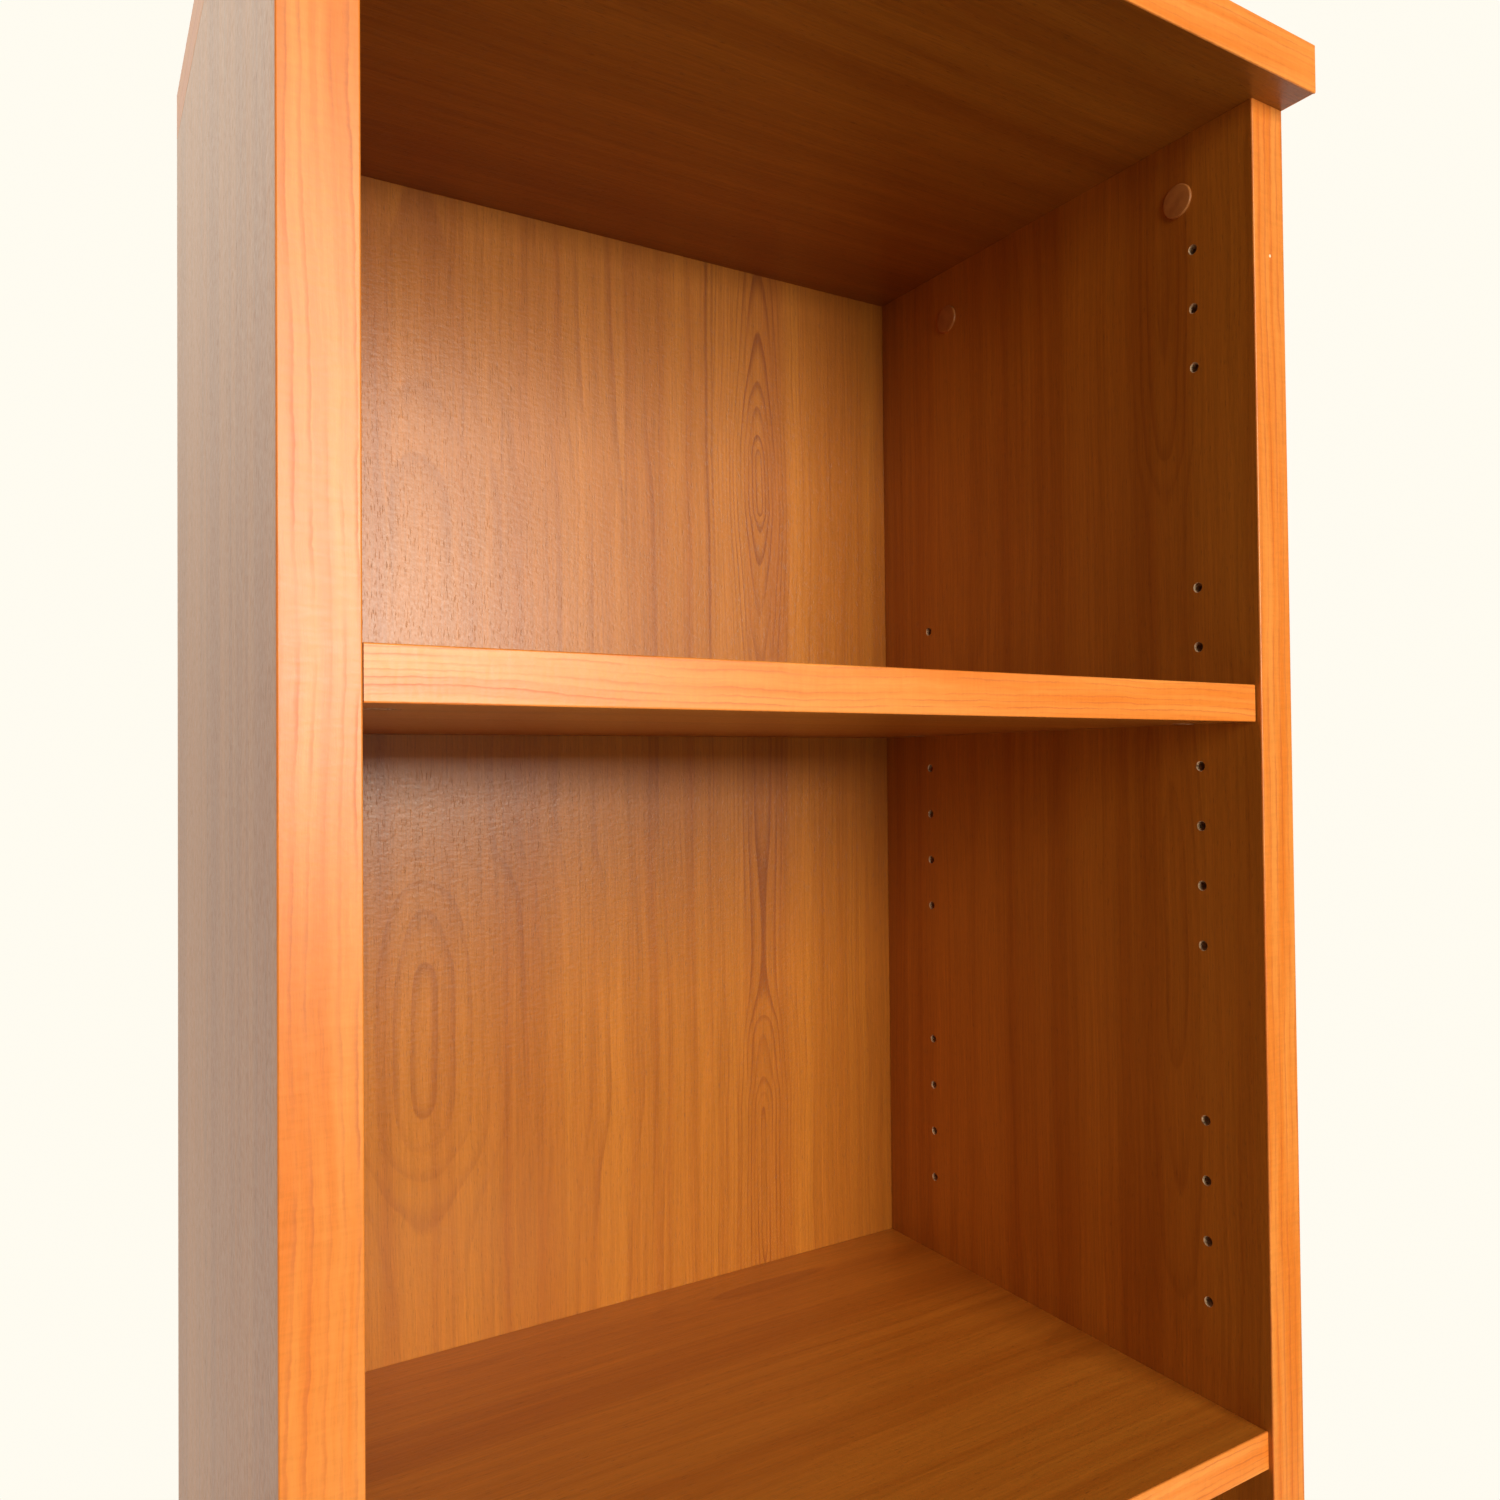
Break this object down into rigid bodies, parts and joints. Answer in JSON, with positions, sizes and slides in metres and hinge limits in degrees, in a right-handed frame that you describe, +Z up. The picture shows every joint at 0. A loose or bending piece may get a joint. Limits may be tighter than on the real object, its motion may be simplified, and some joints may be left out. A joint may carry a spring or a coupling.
{
  "type": "bookcase with adjustable shelves",
  "caption": "Tall open bookcase of wood-grain laminate board, with fixed shelves, loose shelves on concealed pins in rows of holes, a grooved back panel and a kick plate.",
  "frame": {"origin": "on the floor, under the middle of the whole bookcase's footprint", "axes": "+Z up, -Y out of the open front, +X to the right of someone who faces it"},
  "size_m": [0.494, 0.339, 1.83],
  "materials": {
    "laminate_board": "satin cherry wood-grain laminate with a fine pore emboss",
    "back_panel": "satin cherry wood-grain foil, upright grain",
    "edge_band": "satin cherry wood-grain edge band, lighter and more orange than the boards",
    "plated_steel": "zinc-plated steel",
    "cast_zinc": "die-cast zinc alloy, dull grey",
    "cap_plastic": "satin brown moulded plastic"
  },
  "bodies": {
    "cabinet": {"left_side": "laminate_board", "left_side_edge_band": "edge_band", "top_board_left_edge_band": "edge_band", "right_side": "laminate_board", "right_side_edge_band": "edge_band", "top_board_right_edge_band": "edge_band", "top_board": "laminate_board", "top_board_front_edge_band": "edge_band", "back_panel": "back_panel", "kick_plate": "laminate_board", "fixed_shelf": "laminate_board", "fixed_shelf_edge_band": "edge_band", "bottom_shelf": "laminate_board", "bottom_shelf_edge_band": "edge_band", "fixed_shelf_cam_front_left": "cast_zinc", "fixed_shelf_cam_bolt_front_left": "plated_steel", "fixed_shelf_cam_rear_left": "cast_zinc", "fixed_shelf_cam_bolt_rear_left": "plated_steel", "fixed_shelf_cam_front_right": "cast_zinc", "fixed_shelf_cam_bolt_front_right": "plated_steel", "fixed_shelf_cam_rear_right": "cast_zinc", "fixed_shelf_cam_bolt_rear_right": "plated_steel", "bottom_shelf_cam_front_left": "cast_zinc", "bottom_shelf_cam_bolt_front_left": "plated_steel", "bottom_shelf_cam_rear_left": "cast_zinc", "bottom_shelf_cam_bolt_rear_left": "plated_steel", "bottom_shelf_cam_front_right": "cast_zinc", "bottom_shelf_cam_bolt_front_right": "plated_steel", "bottom_shelf_cam_rear_right": "cast_zinc", "bottom_shelf_cam_bolt_rear_right": "plated_steel", "top_board_cam_front_left": "cast_zinc", "top_board_cam_bolt_front_left": "plated_steel", "top_board_cam_rear_left": "cast_zinc", "top_board_cam_bolt_rear_left": "plated_steel", "top_board_cam_front_right": "cast_zinc", "top_board_cam_bolt_front_right": "plated_steel", "top_board_cam_rear_right": "cast_zinc", "top_board_cam_bolt_rear_right": "plated_steel", "top_board_cam_cap_front_left": "cap_plastic", "top_board_cam_cap_rear_left": "cap_plastic", "top_board_cam_cap_front_right": "cap_plastic", "top_board_cam_cap_rear_right": "cap_plastic"},
    "upper_shelf": {"upper_shelf": "laminate_board", "upper_shelf_edge_band": "edge_band"},
    "upper_shelf_pin_front_left": {"upper_shelf_pin_front_left": "plated_steel"},
    "upper_shelf_pin_rear_left": {"upper_shelf_pin_rear_left": "plated_steel"},
    "upper_shelf_pin_front_right": {"upper_shelf_pin_front_right": "plated_steel"},
    "upper_shelf_pin_rear_right": {"upper_shelf_pin_rear_right": "plated_steel"},
    "middle_shelf": {"middle_shelf": "laminate_board", "middle_shelf_edge_band": "edge_band"},
    "middle_shelf_pin_front_left": {"middle_shelf_pin_front_left": "plated_steel"},
    "middle_shelf_pin_rear_left": {"middle_shelf_pin_rear_left": "plated_steel"},
    "middle_shelf_pin_front_right": {"middle_shelf_pin_front_right": "plated_steel"},
    "middle_shelf_pin_rear_right": {"middle_shelf_pin_rear_right": "plated_steel"},
    "lower_shelf": {"lower_shelf": "laminate_board", "lower_shelf_edge_band": "edge_band"},
    "lower_shelf_pin_front_left": {"lower_shelf_pin_front_left": "plated_steel"},
    "lower_shelf_pin_rear_left": {"lower_shelf_pin_rear_left": "plated_steel"},
    "lower_shelf_pin_front_right": {"lower_shelf_pin_front_right": "plated_steel"},
    "lower_shelf_pin_rear_right": {"lower_shelf_pin_rear_right": "plated_steel"}
  },
  "joints": [
    {"name": "upper_shelf_lift", "type": "slide", "parent": "cabinet", "child": "upper_shelf", "axis": [0, 0, 1], "range_m": [0, 0.257]},
    {"name": "upper_shelf_pin_front_left_pull", "type": "slide", "parent": "cabinet", "child": "upper_shelf_pin_front_left", "axis": [1, 0, 0], "range_m": [0, 0.01]},
    {"name": "upper_shelf_pin_rear_left_pull", "type": "slide", "parent": "cabinet", "child": "upper_shelf_pin_rear_left", "axis": [1, 0, 0], "range_m": [0, 0.01]},
    {"name": "upper_shelf_pin_front_right_pull", "type": "slide", "parent": "cabinet", "child": "upper_shelf_pin_front_right", "axis": [-1, 0, 0], "range_m": [0, 0.01]},
    {"name": "upper_shelf_pin_rear_right_pull", "type": "slide", "parent": "cabinet", "child": "upper_shelf_pin_rear_right", "axis": [-1, 0, 0], "range_m": [0, 0.01]},
    {"name": "middle_shelf_lift", "type": "slide", "parent": "cabinet", "child": "middle_shelf", "axis": [0, 0, 1], "range_m": [0, 0.3325]},
    {"name": "middle_shelf_pin_front_left_pull", "type": "slide", "parent": "cabinet", "child": "middle_shelf_pin_front_left", "axis": [1, 0, 0], "range_m": [0, 0.01]},
    {"name": "middle_shelf_pin_rear_left_pull", "type": "slide", "parent": "cabinet", "child": "middle_shelf_pin_rear_left", "axis": [1, 0, 0], "range_m": [0, 0.01]},
    {"name": "middle_shelf_pin_front_right_pull", "type": "slide", "parent": "cabinet", "child": "middle_shelf_pin_front_right", "axis": [-1, 0, 0], "range_m": [0, 0.01]},
    {"name": "middle_shelf_pin_rear_right_pull", "type": "slide", "parent": "cabinet", "child": "middle_shelf_pin_rear_right", "axis": [-1, 0, 0], "range_m": [0, 0.01]},
    {"name": "lower_shelf_lift", "type": "slide", "parent": "cabinet", "child": "lower_shelf", "axis": [0, 0, 1], "range_m": [0, 0.332]},
    {"name": "lower_shelf_pin_front_left_pull", "type": "slide", "parent": "cabinet", "child": "lower_shelf_pin_front_left", "axis": [1, 0, 0], "range_m": [0, 0.01]},
    {"name": "lower_shelf_pin_rear_left_pull", "type": "slide", "parent": "cabinet", "child": "lower_shelf_pin_rear_left", "axis": [1, 0, 0], "range_m": [0, 0.01]},
    {"name": "lower_shelf_pin_front_right_pull", "type": "slide", "parent": "cabinet", "child": "lower_shelf_pin_front_right", "axis": [-1, 0, 0], "range_m": [0, 0.01]},
    {"name": "lower_shelf_pin_rear_right_pull", "type": "slide", "parent": "cabinet", "child": "lower_shelf_pin_rear_right", "axis": [-1, 0, 0], "range_m": [0, 0.01]}
  ]
}
